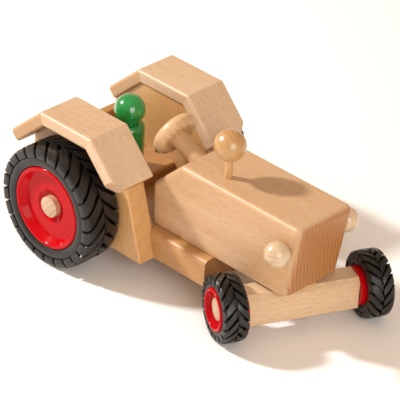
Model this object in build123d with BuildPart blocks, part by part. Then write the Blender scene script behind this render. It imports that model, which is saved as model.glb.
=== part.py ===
"""Wooden toy tractor: beech body, steered front axle, rubber-tyred wheels and a lift-out driver."""
import os
from math import cos, radians, sin, tan

from build123d import *

os.makedirs("parts", exist_ok=True)

# +X drives forward, +Y is the driver's left, +Z is up. The ground is z = 0.

# ---- whole toy ----
rear_axle_x = -91.3        # rear axle, so that x = 0 is the middle of the overall length
wheelbase = 186.5          # rear axle to steering pin
steer_angle = 24.5         # the front axle stands steered to the right by this much
bonnet_top = 104.5         # height of the bonnet's top face
ground_clearance = 20.0    # ground to the underside of chassis and side panels
deck = 42.5                # chassis top, which the bonnet, floor board and rear wall stand on

# ---- wheels ----
rear_tyre_r = 50.0
rear_tyre_width = 33.0
rear_rim_r = 34.0
rear_seat_r = 29.5         # where the tyre sits
rear_flange = 3.5          # tyre bead inside the tyre's outer wall
rear_lip = 4.0             # width of the rim's rolled edge
front_tyre_r = 26.5
front_tyre_width = 20.0
front_rim_r = 17.0
front_seat_r = 14.6
front_flange = 2.0
front_lip = 3.0
front_drum_r = 15.4        # the front rims' inner end is a plain drum
rear_lugs = 24
front_lugs = 14
bead_gap = 0.2             # tyre wall to rim flange
rim_wall = 2.5
rim_web = 3.0              # thickness of the rim's disc
hub_wall = 4.0
funnel_spread = 1.5        # the recess round a peg grows by this much for each mm of its depth
peg_head_r = 8.5
peg_room = 1.2             # around a peg's head, at the bottom of the recess
peg_dome = 1.6             # rise of a peg's domed end
rear_hub_face = 7.4        # from the middle plane of the wheel outwards, where the peg's head runs
rear_funnel = 2.8
rear_peg_head = 6.4
front_hub_face = 5.0
front_funnel = 1.2
front_peg_head = 4.0
rear_peg_r = 5.0
front_peg_r = 4.0
rear_peg_stop = 1.0        # rear peg's end to the inner face of its side panel
running_fit = 0.08         # radial clearance of whatever turns on a peg, pin or column
end_play = 0.3             # along an axle, between a turning hub and what it runs against

# ---- cab ----
board = 11.0               # thickness of the mudguard boards and of the floor board
cab_half = 34.0            # middle plane to the inner face of a side panel
panel = 19.0               # side panel thickness
panel_rear = 50.0          # rear axle back to the rear edge of the side panels
panel_toe = 71.3           # rear axle forward to the foot of the slanted front edge
panel_rake = 17.5          # slant of the front edge, degrees from upright
guard_top = 119.0          # height of the mudguard's flat top
guard_back = 24.0          # rear axle back to the rear mitre
guard_front = 31.0         # rear axle forward to the front mitre
guard_slope_length = 45.0
guard_rear_slope = 42.0
guard_front_slope = 46.0
guard_overhang = 2.0       # mudguard past the inner face of its side panel
guard_width = 40.0
guard_clip = 10.0          # cut corner at the foot of each front board
board_round = 2.5
panel_round = 1.5
rear_wall = 10.0
rear_wall_top = 79.0
floor_front = 20.0         # rear axle forward to the front edge of the floor board

# ---- chassis and bonnet ----
chassis_half = 38.5
chassis_front = wheelbase - 61.5   # rear axle forward to the chassis front face
chassis_round = 5.0
bonnet_half = 29.3
bonnet_rear = 57.0         # rear axle forward to the bonnet's upright rear face
dash_foot = bonnet_top - 27.5      # height where the dash starts to slope
dash_run = 29.0            # length of the sloping dash along X
bonnet_nose = wheelbase + 23.0     # rear axle forward to the top of the nose
nose_undercut = 11.0       # the nose's foot stands back by this much
bonnet_round = 4.5
nose_round = 6.5
foot_round = 1.2           # bonnet's lower edges
dowel_r = 4.0
dowel_length = 34.0
panel_dowel_in = 14.0      # dowel depth in the chassis side
panel_dowel_out = 12.0     # dowel depth in the side panel
panel_dowel_back = 32.0    # rear axle back to the rear dowel
panel_dowel_front = 42.0   # rear axle forward to the front dowel
bonnet_dowel_rear = 15.0   # bonnet's rear face to each of its two dowels
bonnet_dowel_front = 51.0

# ---- bonnet fittings ----
exhaust_x = 120.0
exhaust_y = -13.3
exhaust_stick_r = 3.0
exhaust_ball_r = 12.5
exhaust_ball_z = bonnet_top + 27.5
exhaust_depth = 16.0       # stick below the bonnet's top face
lamp_x = bonnet_nose - 14.9
lamp_z = bonnet_top - 22.0
lamp_ball_r = 10.0
lamp_stand_out = 8.2       # lamp centre outside the bonnet's side face, on which its flat is glued
lamp_pin_r = 3.0
lamp_pin_depth = 12.0
column_tilt = 24.0         # steering column, degrees from level
column_r = 7.2
column_entry_x = bonnet_rear + 18.6   # where the column's axis meets the dash
column_entry_z = bonnet_top - 9.3
column_out = 23.0          # visible length of the column
column_in = 24.0
steering_r = 19.5
steering_thickness = 10.0
steering_rim = 5.5         # half width of the thick outer ring
steering_dish = 2.2        # the disc's middle lies this far below the ring
steering_socket = 6.0      # column end inside the disc

# ---- steered axle ----
beam_half = 45.0
beam_depth = 22.0
beam_height = 26.5
beam_chamfer = 3.5
washer = 3.0
washer_r = 12.0
washer_gap = 0.15
pin_r = 5.0
pin_head_r = 9.0
pin_head = 5.0
pin_depth = 24.0
pin_recess = 0.5           # pin head below the beam's underside, and around it
front_peg_depth = 25.0     # peg shank inside the beam
rear_side_gap = 1.0        # side panel to rear tyre
front_side_gap = 3.5       # beam end to front tyre

# ---- driver ----
driver_x = 1.0
driver_r = 12.4
driver_head_r = 12.4
driver_head_z = 106.2
driver_neck_r = 7.0
driver_clearance = 0.45


def from_axle(x):
    """X in the toy's frame of a distance measured forward from the rear axle."""
    return rear_axle_x + x


def side_plane(y):
    """A plane along the toy at this Y, with +X to the right and +Z up."""
    return Plane((0, y, 0), x_dir=(1, 0, 0), z_dir=(0, -1, 0))


def save(builder, label):
    builder.part.label = label
    export_step(builder.part, f"parts/{label}.step")


def side_name(side):
    return "right" if side < 0 else "left"


pivot_x = from_axle(wheelbase)
steer = radians(steer_angle)
axle_forward = Vector(cos(steer), -sin(steer), 0)
axle_left = Vector(sin(steer), cos(steer), 0)
pivot = Vector(pivot_x, 0, 0)

# =====================================================================================
# Outlines that several pieces share
# =====================================================================================
rear_run = Vector(cos(radians(guard_rear_slope)), sin(radians(guard_rear_slope)))
front_run = Vector(cos(radians(guard_front_slope)), -sin(radians(guard_front_slope)))
under_top = guard_top - board

guard_outer = [
    Vector(from_axle(-guard_back), guard_top) - rear_run * guard_slope_length,
    Vector(from_axle(-guard_back), guard_top),
    Vector(from_axle(guard_front), guard_top),
    Vector(from_axle(guard_front), guard_top) + front_run * guard_slope_length,
]
guard_inner = [
    guard_outer[0] + Vector(rear_run.Y, -rear_run.X) * board,
    guard_outer[1] + Vector(board * tan(radians(guard_rear_slope / 2)), -board),
    guard_outer[2] + Vector(-board * tan(radians(guard_front_slope / 2)), -board),
    guard_outer[3] + Vector(front_run.Y, -front_run.X) * board,
]

# The slanted front edge of a side panel runs up until it meets the front board's underside.
rake = tan(radians(panel_rake))
drop = tan(radians(guard_front_slope))
toe_x = from_axle(panel_toe)
meet_height = guard_inner[2].Y + drop * guard_inner[2].X - ground_clearance
meet_x = (toe_x - rake * meet_height) / (1 - rake * drop)
meet_z = guard_inner[2].Y - drop * (meet_x - guard_inner[2].X)
panel_rear_x = from_axle(-panel_rear)
rear_drop = tan(radians(guard_rear_slope)) * (guard_inner[1].X - panel_rear_x)
panel_outline = [
    (panel_rear_x, ground_clearance),
    (toe_x, ground_clearance),
    (meet_x, meet_z),
    (guard_inner[2].X, under_top),
    (guard_inner[1].X, under_top),
    (panel_rear_x, under_top - rear_drop),
]
panel_mid = cab_half + panel / 2
panel_outer = cab_half + panel

# =====================================================================================
# Chassis, bonnet and the dowels between them
# =====================================================================================
chassis_length = chassis_front + panel_rear
chassis_mid_x = panel_rear_x + chassis_length / 2
dowel_rear_x = from_axle(bonnet_rear + bonnet_dowel_rear)
dowel_front_x = from_axle(bonnet_rear + bonnet_dowel_front)
dowel_places = [(dowel_rear_x, 0), (dowel_front_x, 0)]
dowel_foot = deck - dowel_length / 2
panel_dowel_z = (ground_clearance + deck) / 2
panel_dowel_places = [
    (from_axle(-panel_dowel_back), panel_dowel_z),
    (from_axle(panel_dowel_front), panel_dowel_z),
]
panel_dowel_y = cab_half - panel_dowel_in

with BuildPart() as chassis:
    with BuildSketch(Plane.XY.offset(ground_clearance)):
        with Locations((chassis_mid_x, 0)):
            Rectangle(chassis_length, 2 * chassis_half)
    extrude(amount=deck - ground_clearance)
    fillet(chassis.edges().filter_by(Axis.X).group_by(Axis.Z)[-1], radius=chassis_round)
    for side in (-1, 1):
        with BuildSketch(side_plane(side * panel_mid)):
            with BuildLine():
                Polyline(*panel_outline, close=True)
            make_face()
        extrude(amount=panel / 2, both=True, mode=Mode.SUBTRACT)
    with BuildSketch(Plane.XY.offset(dowel_foot)):
        with Locations(*dowel_places):
            Circle(dowel_r)
    extrude(amount=dowel_length / 2, mode=Mode.SUBTRACT)
    for side in (-1, 1):
        with BuildSketch(side_plane(side * panel_dowel_y)):
            with Locations(*panel_dowel_places):
                Circle(dowel_r)
        extrude(amount=-side * (cab_half - panel_dowel_y), mode=Mode.SUBTRACT)
save(chassis, "chassis")

with BuildPart() as dowels:
    with BuildSketch(Plane.XY.offset(dowel_foot)):
        with Locations(*dowel_places):
            Circle(dowel_r)
    extrude(amount=dowel_length)
save(dowels, "bonnet_dowels")

bonnet_outline = [
    (from_axle(bonnet_rear), deck),
    (from_axle(bonnet_nose - nose_undercut), deck),
    (from_axle(bonnet_nose), bonnet_top),
    (from_axle(bonnet_rear + dash_run), bonnet_top),
    (from_axle(bonnet_rear), dash_foot),
]
lamp_centre_y = bonnet_half + lamp_stand_out
column_axis = Vector(cos(radians(column_tilt)), 0, -sin(radians(column_tilt)))
column_entry = Vector(from_axle(column_entry_x), 0, column_entry_z)
column_foot = column_entry + column_axis * column_in
column_plane = Plane(column_foot, x_dir=(0, 1, 0), z_dir=-column_axis)

with BuildPart() as bonnet:
    with BuildSketch(side_plane(0)):
        with BuildLine():
            Polyline(*bonnet_outline, close=True)
        make_face()
    extrude(amount=bonnet_half, both=True)
    nose_edges = bonnet.faces().sort_by(Axis.X)[-1].edges().sort_by(Axis.Y)
    fillet([nose_edges[0], nose_edges[-1]], radius=nose_round)
    foot_edges = bonnet.faces().sort_by(Axis.Z)[0].edges()
    fillet(bonnet.edges() - foot_edges, radius=bonnet_round)
    fillet(bonnet.faces().sort_by(Axis.Z)[0].edges(), radius=foot_round)
    with BuildSketch(Plane.XY.offset(deck)):
        with Locations(*dowel_places):
            Circle(dowel_r)
    extrude(amount=dowel_length / 2, mode=Mode.SUBTRACT)
    with BuildSketch(Plane.XY.offset(deck)):
        with Locations((pivot_x, 0)):
            Circle(pin_r)
    extrude(amount=pin_depth, mode=Mode.SUBTRACT)
    with BuildSketch(Plane.XY.offset(bonnet_top - exhaust_depth)):
        with Locations((from_axle(exhaust_x), exhaust_y)):
            Circle(exhaust_stick_r)
    extrude(amount=exhaust_depth, mode=Mode.SUBTRACT)
    with BuildSketch(column_plane):
        Circle(column_r + running_fit)
    extrude(amount=column_in + column_out, mode=Mode.SUBTRACT)
    for side in (-1, 1):
        with BuildSketch(side_plane(side * bonnet_half)):
            with Locations((from_axle(lamp_x), lamp_z)):
                Circle(lamp_pin_r)
        extrude(amount=side * lamp_pin_depth, mode=Mode.SUBTRACT)
save(bonnet, "bonnet")

# =====================================================================================
# Side panels, mudguards, rear wall and floor board
# =====================================================================================
guard_mid_y = cab_half - guard_overhang + guard_width / 2


def side_panel(side):
    with BuildPart() as part:
        with BuildSketch(side_plane(side * panel_mid)):
            with BuildLine():
                Polyline(*panel_outline, close=True)
            make_face()
        extrude(amount=panel / 2, both=True)
        rear_edges = part.faces().sort_by(Axis.X)[0].edges().filter_by(Axis.Z)
        raked = Axis((0, 0, 0), (-sin(radians(panel_rake)), 0, cos(radians(panel_rake))))
        fillet(rear_edges + part.edges().filter_by(raked), radius=panel_round)
        with BuildSketch(side_plane(side * panel_mid)):
            with Locations((rear_axle_x, rear_tyre_r)):
                Circle(rear_peg_r)
        extrude(amount=panel / 2, both=True, mode=Mode.SUBTRACT)
        with BuildSketch(side_plane(side * cab_half)):
            with Locations(*panel_dowel_places):
                Circle(dowel_r)
        extrude(amount=-side * panel_dowel_out, mode=Mode.SUBTRACT)
    save(part, f"side_panel_{side_name(side)}")


def panel_dowels(side):
    with BuildPart() as part:
        with BuildSketch(side_plane(side * panel_dowel_y)):
            with Locations(*panel_dowel_places):
                Circle(dowel_r)
        extrude(amount=-side * (panel_dowel_in + panel_dowel_out))
    save(part, f"panel_dowels_{side_name(side)}")


def guard_board(place, first, side):
    """One mitred mudguard board, between two neighbouring corners of the mudguard's outline."""
    outline = [guard_outer[first], guard_outer[first + 1], guard_inner[first + 1], guard_inner[first]]
    run = (outline[1] - outline[0]).normalized()
    along = Axis((0, 0, 0), (run.X, 0, run.Y))
    with BuildPart() as part:
        with BuildSketch(side_plane(side * guard_mid_y)):
            with BuildLine():
                Polyline(*[(point.X, point.Y) for point in outline], close=True)
            make_face()
        extrude(amount=guard_width / 2, both=True)
        if place == "front":
            foot = part.faces().sort_by(along)[-1].edges().filter_by(Axis.Y, reverse=True)
            chamfer(foot.sort_by(Axis.Y)[0 if side < 0 else -1], length=guard_clip)
        fillet(part.edges().filter_by(along), radius=board_round)
        if place == "front":
            fillet(part.faces().sort_by(along)[-1].edges().filter_by(Axis.Y), radius=board_round - 0.5)
        if place == "rear":
            fillet(part.faces().sort_by(along)[0].edges().filter_by(Axis.Y), radius=board_round + 1)
    save(part, f"mudguard_{place}_{side_name(side)}")


for side in (-1, 1):
    side_panel(side)
    panel_dowels(side)
    for first, place in enumerate(("rear", "top", "front")):
        guard_board(place, first, side)

with BuildPart() as wall:
    with BuildSketch(Plane.XY.offset(deck)):
        with Locations((panel_rear_x + rear_wall / 2, 0)):
            Rectangle(rear_wall, 2 * cab_half)
    extrude(amount=rear_wall_top - deck)
    fillet(wall.faces().sort_by(Axis.Z)[-1].edges().filter_by(Axis.Y), radius=board_round)
save(wall, "rear_wall")

floor_rear_x = panel_rear_x + rear_wall
floor_length = from_axle(floor_front) - floor_rear_x
with BuildPart() as floor:
    with BuildSketch(Plane.XY.offset(deck)):
        with Locations((floor_rear_x + floor_length / 2, 0)):
            Rectangle(floor_length, 2 * cab_half)
        with Locations((from_axle(driver_x), 0)):
            Circle(driver_r + driver_clearance, mode=Mode.SUBTRACT)
    extrude(amount=board)
    front_edges = floor.faces().sort_by(Axis.X)[-1].edges().filter_by(Axis.Y)
    fillet(front_edges.sort_by(Axis.Z)[-1], radius=board_round)
save(floor, "floor_board")

# =====================================================================================
# Bonnet fittings: exhaust, lamps, steering wheel
# =====================================================================================
exhaust_foot = bonnet_top - exhaust_depth
with BuildPart() as stick:
    with BuildSketch(Plane.XY.offset(exhaust_foot)):
        with Locations((from_axle(exhaust_x), exhaust_y)):
            Circle(exhaust_stick_r)
    extrude(amount=exhaust_ball_z - exhaust_foot)
save(stick, "exhaust_stick")

with BuildPart() as ball:
    with Locations((from_axle(exhaust_x), exhaust_y, exhaust_ball_z)):
        Sphere(exhaust_ball_r)
    with BuildSketch(Plane.XY.offset(exhaust_ball_z - exhaust_ball_r - 1)):
        with Locations((from_axle(exhaust_x), exhaust_y)):
            Circle(exhaust_stick_r)
    extrude(amount=exhaust_ball_r + 1, mode=Mode.SUBTRACT)
save(ball, "exhaust_ball")


def lamp(side):
    """A ball with a small flat against the bonnet's side, and the pin glued through both."""
    with BuildPart() as globe:
        with Locations((from_axle(lamp_x), side * lamp_centre_y, lamp_z)):
            Sphere(lamp_ball_r)
        with BuildSketch(side_plane(side * bonnet_half)):
            with Locations((from_axle(lamp_x), lamp_z)):
                Circle(lamp_ball_r)
        extrude(amount=side * lamp_ball_r, mode=Mode.SUBTRACT)
        with BuildSketch(side_plane(side * bonnet_half)):
            with Locations((from_axle(lamp_x), lamp_z)):
                Circle(lamp_pin_r)
        extrude(amount=-side * lamp_stand_out, mode=Mode.SUBTRACT)
    save(globe, f"lamp_ball_{side_name(side)}")
    with BuildPart() as pin:
        with BuildSketch(side_plane(side * (bonnet_half - lamp_pin_depth))):
            with Locations((from_axle(lamp_x), lamp_z)):
                Circle(lamp_pin_r)
        extrude(amount=-side * (lamp_pin_depth + lamp_stand_out))
    save(pin, f"lamp_pin_{side_name(side)}")


for side in (-1, 1):
    lamp(side)

column_length = column_in + column_out
with BuildPart() as column:
    with BuildSketch(column_plane.offset(end_play)):
        Circle(column_r)
    extrude(amount=column_length + steering_socket - end_play)
save(column, "steering_column")

disc_plane = column_plane.offset(column_length)
disc_section = Plane(disc_plane.origin, x_dir=disc_plane.x_dir, z_dir=-disc_plane.y_dir)
with BuildPart() as steering:
    with BuildSketch(disc_section):
        with BuildLine():
            Polyline((column_r, 0.8), (steering_r - steering_rim, -0.8))
            ThreePointArc(
                (steering_r - steering_rim, -0.8),
                (steering_r, steering_thickness * 0.42),
                (steering_r - steering_rim, steering_thickness),
            )
            Polyline(
                (steering_r - steering_rim, steering_thickness),
                (column_r + 1, steering_thickness - steering_dish),
                (0, steering_thickness - steering_dish),
                (0, steering_socket),
                (column_r, steering_socket),
                (column_r, 0.8),
            )
        make_face()
    revolve(axis=Axis(disc_plane.origin, disc_plane.z_dir))
save(steering, "steering_wheel")


# =====================================================================================
# Wheels
# =====================================================================================
def section(wheel):
    """The plane through a wheel's axle, with its radius to the right and the outward side up."""
    return Plane(wheel.origin, x_dir=wheel.x_dir, z_dir=-wheel.y_dir)


def tyre(label, wheel, outer_r, width, rim_r, seat_r, flange, lugs, groove):
    half = width / 2
    bead = half - flange
    wall_foot = half - flange / 2
    shoulder = half * 0.17
    tread = half - shoulder
    shoulder_mid = shoulder * sin(radians(45))
    wall_r = (rim_r + outer_r) / 2
    with BuildPart(wheel) as part:
        with BuildSketch(section(wheel)):
            with BuildLine():
                for way in (1, -1):
                    Polyline((seat_r, 0), (seat_r, way * bead), (rim_r + bead_gap, way * bead))
                    Line((rim_r + bead_gap, way * bead), (rim_r + bead_gap, way * wall_foot))
                    ThreePointArc(
                        (rim_r + bead_gap, way * wall_foot),
                        (wall_r, way * (half - 0.2)),
                        (outer_r - shoulder, way * half),
                    )
                    ThreePointArc(
                        (outer_r - shoulder, way * half),
                        (outer_r - shoulder + shoulder_mid, way * (tread + shoulder_mid)),
                        (outer_r, way * tread),
                    )
                    Line((outer_r, way * tread), (outer_r, 0))
            make_face()
        revolve(axis=Axis(wheel.origin, wheel.z_dir))
        # grooves lean back from the middle of the tread to each wall, half a pitch apart
        for way in (1, -1):
            start = 90 + 90 / lugs * way
            with Locations((0, 0, way * half * 0.56)):
                with PolarLocations(outer_r - groove / 2 + 1, lugs, start_angle=start):
                    Box(groove + 2, groove * 0.5, half * 1.3, rotation=(way * 32, 0, 0), mode=Mode.SUBTRACT)
    save(part, label)


def rim(label, wheel, rim_r, seat_r, seat, lip, drum_r, drum_end, tube_end, hub_r, hub_face, funnel):
    """A moulded rim: rolled lip, dished disc with a recess round the peg, tyre seat, inner drum and hub tube."""
    dish = hub_face + funnel
    dish_r = seat_r - rim_wall
    throat_r = peg_head_r + peg_room
    funnel_r = throat_r + funnel * funnel_spread
    tube_r = hub_r + hub_wall
    lip_foot = (rim_r - lip, seat + 1.6)
    lip_crest = (rim_r - lip * 0.42, seat + 3.0)
    lip_edge = (rim_r, seat + 1.5)
    with BuildPart() as part:
        with BuildSketch(section(wheel)):
            with BuildLine():
                ThreePointArc(lip_foot, lip_crest, lip_edge)
                Polyline(lip_edge, (rim_r, seat), (seat_r, seat), (seat_r, -seat), (drum_r, -seat))
                Polyline((drum_r, -seat), (drum_r, -drum_end), (dish_r, -drum_end), (dish_r, dish - rim_web))
                Polyline((dish_r, dish - rim_web), (funnel_r, dish - rim_web), (tube_r, hub_face - rim_web))
                Polyline((tube_r, hub_face - rim_web), (tube_r, -tube_end), (hub_r, -tube_end))
                Polyline((hub_r, -tube_end), (hub_r, hub_face), (throat_r, hub_face))
                Polyline((throat_r, hub_face), (funnel_r, dish), (dish_r, dish), lip_foot)
            make_face()
        revolve(axis=Axis(wheel.origin, wheel.z_dir))
    save(part, label)


def peg(label, wheel, seat, head, shank_r, inner):
    """A turned axle peg: a domed head outside the hub and a shank glued into the wood."""
    dome_r = (peg_head_r**2 + peg_dome**2) / (2 * peg_dome)
    with BuildPart() as part:
        with BuildSketch(section(wheel)):
            with BuildLine():
                Polyline((0, inner), (shank_r, inner), (shank_r, seat), (peg_head_r, seat))
                Line((peg_head_r, seat), (peg_head_r, seat + head - peg_dome))
                ThreePointArc(
                    (peg_head_r, seat + head - peg_dome),
                    (peg_head_r / 2, seat + head - dome_r + (dome_r**2 - peg_head_r**2 / 4) ** 0.5),
                    (0, seat + head),
                )
                Line((0, seat + head), (0, inner))
            make_face()
        revolve(axis=Axis(wheel.origin, wheel.z_dir))
    save(part, label)


# Rear wheels run on pegs glued into the side panels.
rear_half = rear_tyre_width / 2
rear_wheel_y = panel_outer + rear_side_gap + rear_half
rear_seat = rear_half - rear_flange
rear_drum_end = rear_half - 1
rear_tube_end = rear_half + rear_side_gap - end_play
for side in (-1, 1):
    name = side_name(side)
    wheel = Plane((rear_axle_x, side * rear_wheel_y, rear_tyre_r), x_dir=(1, 0, 0), z_dir=(0, side, 0))
    tyre(f"rear_tyre_{name}", wheel, rear_tyre_r, rear_tyre_width, rear_rim_r, rear_seat_r,
         rear_flange, rear_lugs, 5.0)
    rim(f"rear_rim_{name}", wheel, rear_rim_r, rear_seat_r, rear_seat, rear_lip, rear_rim_r, rear_drum_end,
        rear_tube_end, rear_peg_r + running_fit, rear_hub_face, rear_funnel)
    peg(f"rear_peg_{name}", wheel, rear_hub_face + end_play, rear_peg_head, rear_peg_r,
        cab_half + rear_peg_stop - rear_wheel_y)

# Front wheels run on pegs glued into the ends of the steered beam.
front_half = front_tyre_width / 2
front_wheel_y = beam_half + front_side_gap + front_half
front_seat = front_half - front_flange
front_tube_end = front_half + front_side_gap - end_play
for side in (-1, 1):
    name = side_name(side)
    centre = pivot + axle_left * (side * front_wheel_y) + Vector(0, 0, front_tyre_r)
    wheel = Plane(centre, x_dir=axle_forward, z_dir=axle_left * side)
    tyre(f"front_tyre_{name}", wheel, front_tyre_r, front_tyre_width, front_rim_r, front_seat_r,
         front_flange, front_lugs, 4.0)
    rim(f"front_rim_{name}", wheel, front_rim_r, front_seat_r, front_seat, front_lip, front_drum_r,
        front_tube_end, front_tube_end, front_peg_r + running_fit, front_hub_face, front_funnel)
    peg(f"front_peg_{name}", wheel, front_hub_face + end_play, front_peg_head, front_peg_r,
        -(front_half + front_side_gap + front_peg_depth))

# =====================================================================================
# Steered axle: beam, washer and pin
# =====================================================================================
beam_top = deck - washer
beam_foot = beam_top - beam_height
beam_plane = Plane(pivot, x_dir=axle_forward, z_dir=(0, 0, 1))
with BuildPart() as beam:
    with BuildSketch(beam_plane.offset(beam_foot)):
        Rectangle(beam_depth, 2 * beam_half)
    extrude(amount=beam_height)
    long_edges = beam.edges().filter_by(Axis(pivot, axle_left))
    top_edges = long_edges.group_by(Axis.Z)[-1]
    chamfer(top_edges, length=beam_chamfer)
    fillet(long_edges.group_by(Axis.Z)[0], radius=1.0)
    with BuildSketch(beam_plane.offset(beam_foot)):
        Circle(pin_r + running_fit)
    extrude(amount=beam_height, mode=Mode.SUBTRACT)
    with BuildSketch(beam_plane.offset(beam_foot)):
        Circle(pin_head_r + pin_recess)
    extrude(amount=pin_recess + pin_head + end_play, mode=Mode.SUBTRACT)
    for side in (-1, 1):
        with BuildSketch(Plane(pivot + axle_left * (side * beam_half) + Vector(0, 0, front_tyre_r),
                               x_dir=axle_forward, z_dir=axle_left * -side)):
            Circle(front_peg_r)
        extrude(amount=front_peg_depth, mode=Mode.SUBTRACT)
save(beam, "axle_beam")

with BuildPart() as ring:
    with BuildSketch(beam_plane.offset(beam_top + washer_gap)):
        Circle(washer_r)
        Circle(pin_r, mode=Mode.SUBTRACT)
    extrude(amount=washer - washer_gap)
save(ring, "pivot_washer")

with BuildPart() as pin:
    with BuildSketch(beam_plane.offset(beam_foot + pin_recess)):
        Circle(pin_head_r)
    extrude(amount=pin_head)
    with BuildSketch(beam_plane.offset(beam_foot + pin_recess)):
        Circle(pin_r)
    extrude(amount=deck + pin_depth - beam_foot - pin_recess)
    fillet(pin.faces().sort_by(Axis.Z)[0].edges(), radius=1.2)
save(pin, "pivot_pin")

# =====================================================================================
# Driver: one turned peg, standing loose in the floor board
# =====================================================================================
driver_foot = deck + end_play
neck_z = driver_head_z - driver_head_r * 0.87
head_foot_z = driver_head_z - (driver_head_r**2 - driver_neck_r**2) ** 0.5
driver_plane = Plane((from_axle(driver_x), 0, 0), x_dir=(1, 0, 0), z_dir=(0, -1, 0))
with BuildPart() as driver:
    with BuildSketch(driver_plane):
        with BuildLine():
            Polyline((0, driver_foot), (driver_r - 1, driver_foot), (driver_r, driver_foot + 1))
            Line((driver_r, driver_foot + 1), (driver_r, neck_z - 5.5))
            ThreePointArc((driver_r, neck_z - 5.5), (driver_r - 1.6, neck_z - 1.7), (driver_neck_r, neck_z))
            Line((driver_neck_r, neck_z), (driver_neck_r, head_foot_z))
            ThreePointArc(
                (driver_neck_r, head_foot_z),
                (driver_head_r, driver_head_z),
                (0, driver_head_z + driver_head_r),
            )
            Line((0, driver_head_z + driver_head_r), (0, driver_foot))
        make_face()
    revolve(axis=Axis(driver_plane.origin, (0, 0, 1)))
save(driver, "driver")
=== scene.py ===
"""Looks of the wooden toy tractor: beech, black rubber, red plastic and green lacquer on its fixed frame."""

from math import pi, radians

import bpy
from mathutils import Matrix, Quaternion, Vector


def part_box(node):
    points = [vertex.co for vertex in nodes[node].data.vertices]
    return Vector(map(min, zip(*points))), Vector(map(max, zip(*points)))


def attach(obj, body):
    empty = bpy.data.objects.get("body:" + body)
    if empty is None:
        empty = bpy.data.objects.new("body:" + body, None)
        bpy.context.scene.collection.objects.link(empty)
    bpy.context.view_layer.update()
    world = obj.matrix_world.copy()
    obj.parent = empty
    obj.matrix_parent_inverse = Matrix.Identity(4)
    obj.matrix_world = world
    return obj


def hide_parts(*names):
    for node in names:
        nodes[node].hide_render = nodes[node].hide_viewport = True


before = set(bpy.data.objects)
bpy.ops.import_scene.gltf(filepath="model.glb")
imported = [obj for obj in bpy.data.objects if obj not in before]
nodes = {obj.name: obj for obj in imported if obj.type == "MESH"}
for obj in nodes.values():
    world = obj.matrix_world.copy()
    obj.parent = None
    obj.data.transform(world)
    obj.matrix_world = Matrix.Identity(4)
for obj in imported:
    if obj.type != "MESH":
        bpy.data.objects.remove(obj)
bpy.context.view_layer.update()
bpy.ops.object.select_all(action="DESELECT")
scene = bpy.context.scene

MM = 0.001
STEER = 24.5      # degrees: the front axle stands steered to the right


# ---- materials ----
def linear(hex_colour):
    """An sRGB hex colour as linear RGBA."""
    parts = [int(hex_colour[i:i + 2], 16) / 255 for i in (1, 3, 5)]
    return [c / 12.92 if c <= 0.04045 else ((c + 0.055) / 1.055) ** 2.4 for c in parts] + [1.0]


def add(tree, kind, settings=None, links=None):
    """Adds a node. A setting is a socket, by name or number, or one of the node's own properties."""
    node = tree.nodes.new(kind)
    for key, value in (settings or {}).items():
        if isinstance(key, int) or key in node.inputs:
            node.inputs[key].default_value = value
        else:
            setattr(node, key, value)
    for key, source in (links or {}).items():
        tree.links.new(source, node.inputs[key])
    return node


def new_material(name):
    """An empty material and its node tree."""
    material = bpy.data.materials.new(name)
    material.use_nodes = True
    tree = material.node_tree
    tree.nodes.clear()
    return material, tree


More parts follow.
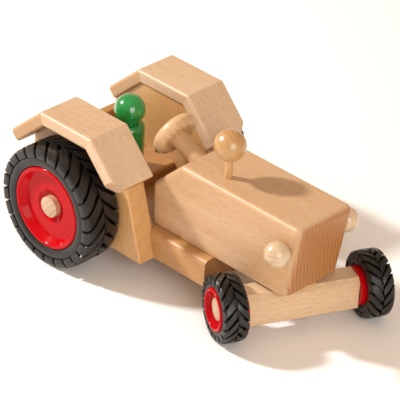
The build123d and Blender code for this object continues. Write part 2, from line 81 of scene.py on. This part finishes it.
def beech(name, grain, pith, early="#C9A680", late="#B68A62", end_early="#AE7844", end_late="#854C20",
          ring=4.2, roughness=0.42, coat=0.25):
    """Steamed beech, planed and sanded, under a thin satin oil: a pinkish tan wood with barely seen rings,
    short dark ray flecks along its side grain, and a darker orange, striped end grain that drinks more oil.
    grain turns X to the fibres, pith is where the tree's middle would be, ring is a year's width in mm."""
    material, tree = new_material(name)
    place = add(tree, "ShaderNodeTexCoord")
    # fibres are drawn out eight times along the grain
    fibre = add(tree, "ShaderNodeMapping", {"vector_type": "TEXTURE", "Location": pith,
                "Rotation": [radians(a) for a in grain], "Scale": (8, 1, 1)},
                {"Vector": place.outputs["Object"]})
    # a wave's period is 2 pi / 20 over its scale
    rings = add(tree, "ShaderNodeTexWave", {"wave_type": "RINGS", "rings_direction": "X",
                "Scale": pi / 10 / (ring * MM), "Distortion": 5.0, "Detail": 2.0, "Detail Scale": 0.6},
                {"Vector": fibre.outputs[0]})
    bands = add(tree, "ShaderNodeMapRange", {"From Min": 0.3, "From Max": 1.0, "To Max": 0.16},
                {"Value": rings.outputs["Fac"]})
    # slow change of tone across the board, over about 26 mm
    tone = add(tree, "ShaderNodeTexNoise", {"Scale": 1 / (26 * MM), "Detail": 4.0, "Roughness": 0.6},
               {"Vector": fibre.outputs[0]})
    tone_amount = add(tree, "ShaderNodeMapRange", {"From Min": 0.35, "From Max": 0.7, "To Min": -0.05,
                      "To Max": 0.6}, {"Value": tone.outputs["Fac"]})
    shade = add(tree, "ShaderNodeMath", {"operation": "ADD", "use_clamp": True},
                {0: bands.outputs[0], 1: tone_amount.outputs[0]})
    side = add(tree, "ShaderNodeMix", {"data_type": "RGBA", 6: linear(early), 7: linear(late)},
               {0: shade.outputs[0]})
    # ray flecks are about 0.1 mm wide on real beech; 0.8 mm is as fine as still shows
    flecks = add(tree, "ShaderNodeTexNoise", {"Scale": 1 / (0.8 * MM), "Detail": 1.5, "Roughness": 0.5},
                 {"Vector": fibre.outputs[0]})
    fleck_amount = add(tree, "ShaderNodeMapRange", {"From Min": 0.56, "From Max": 0.74, "To Max": 0.5},
                       {"Value": flecks.outputs["Fac"]})
    flecked = add(tree, "ShaderNodeMix", {"data_type": "RGBA", 7: linear("#A06C3A")},
                  {0: fleck_amount.outputs[0], 6: side.outputs[2]})
    # end grain shows where the surface faces along the fibres
    along = Vector((1, 0, 0))
    along.rotate(Quaternion((0, 0, 1), radians(grain[2])) @ Quaternion((0, 1, 0), radians(grain[1])))
    facing = add(tree, "ShaderNodeVectorMath", {"operation": "DOT_PRODUCT", 1: along},
                 {0: place.outputs["Normal"]})
    facing_size = add(tree, "ShaderNodeMath", {"operation": "ABSOLUTE"}, {0: facing.outputs["Value"]})
    end_mask = add(tree, "ShaderNodeMapRange", {"From Min": 0.55, "From Max": 0.95},
                   {"Value": facing_size.outputs[0]})
    end_shade = add(tree, "ShaderNodeMapRange", {"From Min": 0.3, "From Max": 1.0, "To Max": 0.6},
                    {"Value": rings.outputs["Fac"]})
    end = add(tree, "ShaderNodeMix", {"data_type": "RGBA", 6: linear(end_early), 7: linear(end_late)},
              {0: end_shade.outputs[0]})
    colour = add(tree, "ShaderNodeMix", {"data_type": "RGBA"},
                 {0: end_mask.outputs[0], 6: flecked.outputs[2], 7: end.outputs[2]})
    pores = add(tree, "ShaderNodeBump", {"Strength": 0.12, "Distance": 0.1 * MM},
                {"Height": flecks.outputs["Fac"]})
    rough = add(tree, "ShaderNodeMapRange", {"To Min": roughness - 0.06, "To Max": roughness + 0.1},
                {"Value": tone.outputs["Fac"]})
    surface = add(tree, "ShaderNodeBsdfPrincipled", {"IOR": 1.5, "Coat Weight": coat, "Coat Roughness": 0.28},
                  {"Base Color": colour.outputs[2], "Roughness": rough.outputs[0],
                   "Normal": pores.outputs[0]})
    add(tree, "ShaderNodeOutputMaterial", None, {"Surface": surface.outputs[0]})
    return material


def moulded_plastic():
    """Glossy red plastic from a polished mould: an even colour, a sharp highlight and slight sink waves."""
    material, tree = new_material("red_moulded_plastic")
    place = add(tree, "ShaderNodeTexCoord")
    waves = add(tree, "ShaderNodeTexNoise", {"Scale": 1 / (9 * MM), "Detail": 1.0},
                {"Vector": place.outputs["Object"]})
    colour = add(tree, "ShaderNodeMix", {"data_type": "RGBA", 6: linear("#BC0612"), 7: linear("#AC050E")},
                 {0: waves.outputs["Fac"]})
    sink = add(tree, "ShaderNodeBump", {"Strength": 0.06, "Distance": 0.3 * MM},
               {"Height": waves.outputs["Fac"]})
    surface = add(tree, "ShaderNodeBsdfPrincipled", {"IOR": 1.5, "Roughness": 0.14,
                  "Specular IOR Level": 0.14},
                  {"Base Color": colour.outputs[2], "Normal": sink.outputs[0]})
    add(tree, "ShaderNodeOutputMaterial", None, {"Surface": surface.outputs[0]})
    return material


def tyre_rubber():
    """Black moulded rubber: nearly black, with a dull grey sheen and a faint pebbled skin."""
    material, tree = new_material("black_moulded_rubber")
    place = add(tree, "ShaderNodeTexCoord")
    skin = add(tree, "ShaderNodeTexNoise", {"Scale": 1 / (1.2 * MM), "Detail": 3.0},
               {"Vector": place.outputs["Object"]})
    cloud = add(tree, "ShaderNodeTexNoise", {"Scale": 1 / (14 * MM), "Detail": 3.0},
                {"Vector": place.outputs["Object"]})
    colour = add(tree, "ShaderNodeMix", {"data_type": "RGBA", 6: linear("#0B0A09"), 7: linear("#171513")},
                 {0: cloud.outputs["Fac"]})
    rough = add(tree, "ShaderNodeMapRange", {"From Min": 0.3, "From Max": 0.7, "To Min": 0.3, "To Max": 0.46},
                {"Value": cloud.outputs["Fac"]})
    pebbles = add(tree, "ShaderNodeBump", {"Strength": 0.15, "Distance": 0.2 * MM},
                  {"Height": skin.outputs["Fac"]})
    surface = add(tree, "ShaderNodeBsdfPrincipled", {"IOR": 1.52},
                  {"Base Color": colour.outputs[2], "Roughness": rough.outputs[0],
                   "Normal": pebbles.outputs[0]})
    add(tree, "ShaderNodeOutputMaterial", None, {"Surface": surface.outputs[0]})
    return material


def green_lacquer():
    """Turned wood dipped in green lacquer: a deep even green under a clear wet gloss."""
    material, tree = new_material("green_lacquered_wood")
    place = add(tree, "ShaderNodeTexCoord")
    flow = add(tree, "ShaderNodeTexNoise", {"Scale": 1 / (7 * MM), "Detail": 1.0},
               {"Vector": place.outputs["Object"]})
    colour = add(tree, "ShaderNodeMix", {"data_type": "RGBA", 6: linear("#0F9444"), 7: linear("#0A8036")},
                 {0: flow.outputs["Fac"]})
    ripple = add(tree, "ShaderNodeBump", {"Strength": 0.05, "Distance": 0.3 * MM},
                 {"Height": flow.outputs["Fac"]})
    surface = add(tree, "ShaderNodeBsdfPrincipled", {"IOR": 1.5, "Roughness": 0.22, "Coat Weight": 1.0,
                  "Coat Roughness": 0.05}, {"Base Color": colour.outputs[2], "Normal": ripple.outputs[0]})
    add(tree, "ShaderNodeOutputMaterial", None, {"Surface": surface.outputs[0]})
    return material


def finish(material, *names):
    """Gives the named frame nodes their material."""
    for name in names:
        mesh = nodes[name].data
        mesh.materials.clear()
        mesh.materials.append(material)


ALONG_X, ALONG_Y, ALONG_Z = (0, 0, 0), (0, 0, 90), (0, -90, 0)
ALONG_AXLE = (0, 0, 90 - STEER)
PEG_TONES = {"early": "#C4A582", "late": "#B28E68", "end_early": "#BEA386", "end_late": "#AC8C6C", "ring": 5}
finish(beech("beech_bonnet", ALONG_X, (0, 0.22, 0.11), ring=3.6), "bonnet")
# painted shade: the chassis beech is darker and more orange than the bonnet's, standing in for the shade that
# falls on its side
finish(beech("beech_chassis", ALONG_X, (0, 0.05, -0.16), early="#BC8E5A", late="#A4723E"), "chassis")
for side, sign in (("right", -1), ("left", 1)):
    # painted light: the panels' beech is paler than the bonnet's, so that their faces, which lie in shade,
    # come out lighter than the lamps make them
    finish(beech(f"beech_panel_{side}", ALONG_Z, (-0.25, sign * 0.09, 0), early="#D2A46E", late="#BA864E"),
           f"side_panel_{side}")
    finish(beech(f"beech_guard_rear_{side}", (0, -42, 0), (-0.1, sign * 0.3, 0.2), early="#BF986C",
                 late="#AA8056"), f"mudguard_rear_{side}")
    finish(beech(f"beech_guard_top_{side}", ALONG_X, (0, sign * 0.2, 0.31), early="#D0B292",
                 late="#BF9A76"), f"mudguard_top_{side}")
    # painted light: the front boards are paler and pinker than the other boards, standing in for the light
    # from the front that falls on them
    finish(beech(f"beech_guard_front_{side}", (0, 46, 0), (0, sign * 0.25, 0.25), early="#DCBFA0",
                 late="#CEAD8C"), f"mudguard_front_{side}")
    finish(beech(f"beech_lamp_{side}", ALONG_Y, (0.1, 0, 0.15), early="#CFB898", late="#BFA17C",
                 end_early="#C6AC8A", end_late="#B4946E", coat=0.8, roughness=0.3),
           f"lamp_ball_{side}", f"lamp_pin_{side}")
    finish(beech(f"beech_rear_peg_{side}", ALONG_Y, (-0.06, 0, 0.02), **PEG_TONES), f"rear_peg_{side}")
    finish(beech(f"beech_front_peg_{side}", ALONG_AXLE, (0.2, 0, 0.06), **PEG_TONES), f"front_peg_{side}")
    finish(beech(f"beech_dowels_{side}", ALONG_Y, (0, 0, 0.1)), f"panel_dowels_{side}")
finish(beech("beech_rear_wall", ALONG_Y, (0.2, 0, 0.03), early="#C08E58", late="#A6723C"), "rear_wall")
finish(beech("beech_floor", ALONG_Y, (0, 0, -0.2), early="#BC8850", late="#A26C36"), "floor_board")
# painted light: the axle beam's beech is paler than the bonnet's, standing in for the light from the front
# that falls on its front face
finish(beech("beech_beam", ALONG_AXLE, (0.1, 0, 0.22), early="#D8BA98", late="#C8A47E"), "axle_beam")
finish(beech("beech_turned_ball", ALONG_Z, (0.05, 0.1, 0), early="#C29862", late="#AA7C48",
             end_early="#BE8E58", end_late="#A4723C", coat=1.0, roughness=0.25), "exhaust_ball")
finish(beech("beech_stick", ALONG_Z, (0.1, 0, 0), early="#CFAA78", late="#BA8C58", ring=1.8),
       "exhaust_stick", "bonnet_dowels", "pivot_pin", "pivot_washer")
finish(beech("beech_steering", (0, 24, 0), (0, 0.12, 0.2), early="#D6B48C", late="#C29A6E", ring=5,
             end_early="#D0AC80", end_late="#B98C5C"), "steering_wheel", "steering_column")
red, rubber = moulded_plastic(), tyre_rubber()
for wheel in ("rear", "front"):
    for side in ("right", "left"):
        finish(red, f"{wheel}_rim_{side}")
        finish(rubber, f"{wheel}_tyre_{side}")
finish(green_lacquer(), "driver")

# ---- tyres ----
ROUND_SIDES = 144     # flat sides round a tyre
WELD = 0.00001        # metres: points closer than this are one
# A section runs from the tread's middle round the wall to the rim seat: each point is its distance from the
# middle plane and its radius, in mm.
REAR_SECTION = [(0, 45.8), (8, 45.4), (12, 44.4), (14.4, 43), (15.7, 41.8), (16.5, 40), (16.6, 37.6),
                (16.2, 35.6), (15.2, 34.4), (13, 34.2), (13, 29.6), (0, 29.6)]
FRONT_SECTION = [(0, 23.4), (5, 23.2), (7.6, 22.4), (9.1, 21.2), (9.8, 19.8), (9.8, 18.4), (9.2, 17.3),
                 (8, 17.2), (8, 14.7), (0, 14.7)]
# A lug's rows run from the wall to the tread's middle: distance and radius as above, then the width and the
# lean of the row, both in degrees.
REAR_LUG = [(16.6, 41.6, 12.2, 0), (16.9, 44.2, 12.2, 0.2), (16.5, 46.7, 12, 0.6), (15.1, 48.7, 11.8, 1.8),
            (12.2, 49.5, 11.6, 4.4), (8.4, 49.6, 11, 8.6), (4.2, 49.7, 10, 13.4), (0.4, 49.7, 9, 18)]
FRONT_LUG = [(9.9, 20.6, 14.2, 0), (10.1, 22.6, 14.4, 0.6), (9.7, 24.5, 14.2, 1.6), (8.4, 25.8, 13.8, 5),
             (5.8, 26.2, 13, 11.4), (3, 26.3, 12, 18.6), (0.3, 26.3, 11, 25)]


def carcass(section):
    """The smooth tyre under the lugs, round the Y axis: rings drawn out of one another along the section."""
    whole = section + [(-y, r) for y, r in reversed(section[:-1])]
    y, r = whole[0]
    bpy.ops.mesh.primitive_circle_add(vertices=ROUND_SIDES, radius=r * MM, rotation=(pi / 2, 0, 0))
    piece = bpy.context.object
    bpy.ops.object.transform_apply()
    bpy.ops.object.mode_set(mode="EDIT")
    for next_y, next_r in whole[1:]:
        bpy.ops.mesh.extrude_edges_move(TRANSFORM_OT_translate={"value": (0, (next_y - y) * MM, 0)})
        bpy.ops.transform.resize(value=(next_r / r, 1, next_r / r), center_override=(0, 0, 0))
        y, r = next_y, next_r
    bpy.ops.mesh.select_all(action="SELECT")
    bpy.ops.mesh.remove_doubles(threshold=WELD)
    bpy.ops.mesh.normals_make_consistent(inside=False)
    bpy.ops.object.mode_set(mode="OBJECT")
    return piece


def lug(rows, thickness):
    """One rubber rib, drawn out row by row from the wall over the shoulder, then thickened and rounded."""
    y, r, width, _ = rows[0]
    # a small plane, merged to one point, is drawn out to the lug's first edge
    bpy.ops.mesh.primitive_plane_add(size=10 * MM, location=(-radians(width) * r * MM / 2, y * MM, r * MM))
    piece = bpy.context.object
    bpy.ops.object.transform_apply()
    bpy.ops.object.mode_set(mode="EDIT")
    bpy.ops.mesh.merge(type="CENTER")
    bpy.ops.mesh.extrude_vertices_move(TRANSFORM_OT_translate={"value": (radians(width) * r * MM, 0, 0)})
    bpy.ops.mesh.select_all(action="SELECT")
    bpy.ops.mesh.subdivide(number_cuts=3)
    for next_y, next_r, next_width, _ in rows[1:]:
        bpy.ops.mesh.extrude_edges_move(
            TRANSFORM_OT_translate={"value": (0, (next_y - y) * MM, (next_r - r) * MM)})
        spread = next_width * next_r / (width * r)
        bpy.ops.transform.resize(value=(spread, 1, 1), center_override=(0, 0, 0))
        y, r, width = next_y, next_r, next_width
    for row_y, _, _, lean in rows[1:]:
        bpy.ops.mesh.select_all(action="DESELECT")
        bpy.ops.object.mode_set(mode="OBJECT")
        for point in piece.data.vertices:
            point.select = abs(point.co.y - row_y * MM) < WELD
        bpy.ops.object.mode_set(mode="EDIT")
        bpy.ops.transform.rotate(value=radians(lean), orient_axis="Y", center_override=(0, 0, 0))
    bpy.ops.mesh.select_all(action="SELECT")
    bpy.ops.mesh.normals_make_consistent(inside=False)
    bpy.ops.object.mode_set(mode="OBJECT")
    body = piece.modifiers.new("body", "SOLIDIFY")
    body.thickness = thickness * MM
    body.offset = -1
    bpy.ops.object.modifier_apply(modifier=body.name)
    edge = piece.modifiers.new("edge", "BEVEL")
    edge.width = 0.7 * MM
    edge.segments = 2
    edge.angle_limit = radians(50)
    bpy.ops.object.modifier_apply(modifier=edge.name)
    return piece


def tyre(name, section, rows, thickness, count):
    """A whole tyre round the Y axis at the origin; each side's lugs stand half a step from the other's."""
    base = carcass(section)
    bpy.ops.object.select_all(action="DESELECT")
    ribs = lug(rows, thickness)
    step = 2 * pi / count
    bpy.ops.object.mode_set(mode="EDIT")
    bpy.ops.mesh.select_all(action="SELECT")
    for _ in range(count - 1):
        bpy.ops.mesh.duplicate_move()
        bpy.ops.transform.rotate(value=step, orient_axis="Y", center_override=(0, 0, 0))
    bpy.ops.mesh.select_all(action="SELECT")
    bpy.ops.mesh.duplicate_move()
    bpy.ops.transform.resize(value=(1, -1, 1), center_override=(0, 0, 0))
    bpy.ops.transform.rotate(value=step / 2, orient_axis="Y", center_override=(0, 0, 0))
    bpy.ops.mesh.select_all(action="SELECT")
    bpy.ops.mesh.normals_make_consistent(inside=False)
    bpy.ops.object.mode_set(mode="OBJECT")
    base.select_set(True)
    bpy.ops.object.join()
    bpy.ops.object.shade_smooth_by_angle(angle=radians(32))
    ribs.name = name
    ribs.data.materials.append(rubber)
    return ribs


def fit(piece, node, body, turn):
    """Turns a tyre about the upright, sets it where its frame node is and lets it ride with the wheel."""
    low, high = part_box(node)
    piece.rotation_euler = (0, 0, turn)
    piece.location = (Vector(low) + Vector(high)) / 2
    bpy.ops.object.transform_apply()
    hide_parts(node)
    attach(piece, body)


def choose(piece):
    """Makes a piece the only one selected, and active."""
    bpy.ops.object.select_all(action="DESELECT")
    piece.select_set(True)
    bpy.context.view_layer.objects.active = piece


def second(piece, name):
    """The same tyre again, for the other side: its own mesh, selected and active."""
    choose(piece)
    bpy.ops.object.duplicate(linked=False)
    copy = bpy.context.object
    copy.name = name
    return copy


for place, section, rows, thickness, count, steer in (
        ("rear", REAR_SECTION, REAR_LUG, 5, 24, 0),
        ("front", FRONT_SECTION, FRONT_LUG, 3.6, 18, radians(STEER))):
    right = tyre(f"{place}_tread_tyre_right", section, rows, thickness, count)
    left = second(right, f"{place}_tread_tyre_left")
    # the left tyre is the same moulding turned round, so its lugs lean the other way
    fit(left, f"{place}_tyre_left", f"{place}_wheel_left", pi - steer)
    choose(right)
    fit(right, f"{place}_tyre_right", f"{place}_wheel_right", -steer)

# ---- floor, light and camera ----
bpy.ops.mesh.primitive_plane_add(size=30, location=(0, 0, 0))
floor = bpy.context.object
floor.name = "studio_floor"
material, tree = new_material("pale_studio_paper")
paper = add(tree, "ShaderNodeBsdfPrincipled", {"Base Color": linear("#FAFAFA"), "Roughness": 0.9,
            "Specular IOR Level": 0.1})
add(tree, "ShaderNodeOutputMaterial", None, {"Surface": paper.outputs[0]})
floor.data.materials.append(material)

middle = Vector((-0.0001, -0.0116, 0.0704))      # what the camera aims at and the lamps stand round


def lamp(name, travel, distance, size, power, colour):
    """A square studio lamp whose light travels the given way towards the toy. Metres and watts."""
    way = Vector(travel).normalized()
    bpy.ops.object.light_add(type="AREA", location=middle - way * distance,
                             rotation=way.to_track_quat("-Z", "Y").to_euler())
    light = bpy.context.object
    light.name = name
    light.data.size = size
    light.data.energy = power
    light.data.color = linear(colour)[:3]


lamp("key_lamp", (0.71, 0.41, -0.60), distance=2.2, size=0.18, power=54, colour="#FFFDFA")
lamp("front_fill_lamp", (-0.75, 0.35, -0.35), distance=2.5, size=1.6, power=33, colour="#FFFBF7")

scene.world = bpy.data.worlds.new("pale_room")
scene.world.use_nodes = True
background = scene.world.node_tree.nodes["Background"]
background.inputs["Color"].default_value = linear("#FFE2C4")
background.inputs["Strength"].default_value = 0.58

eye = Vector((1.1602, -1.2638, 1.1170))
roll = radians(3.4)
bpy.ops.object.camera_add(location=eye)
camera = bpy.context.object
aim = (middle - eye).to_track_quat("-Z", "Y") @ Quaternion((0, 0, 1), roll)
camera.rotation_euler = aim.to_euler()
camera.data.sensor_width = 36
camera.data.lens = 237.6
camera.data.clip_end = 50
scene.camera = camera
scene.view_settings.view_transform = "Standard"
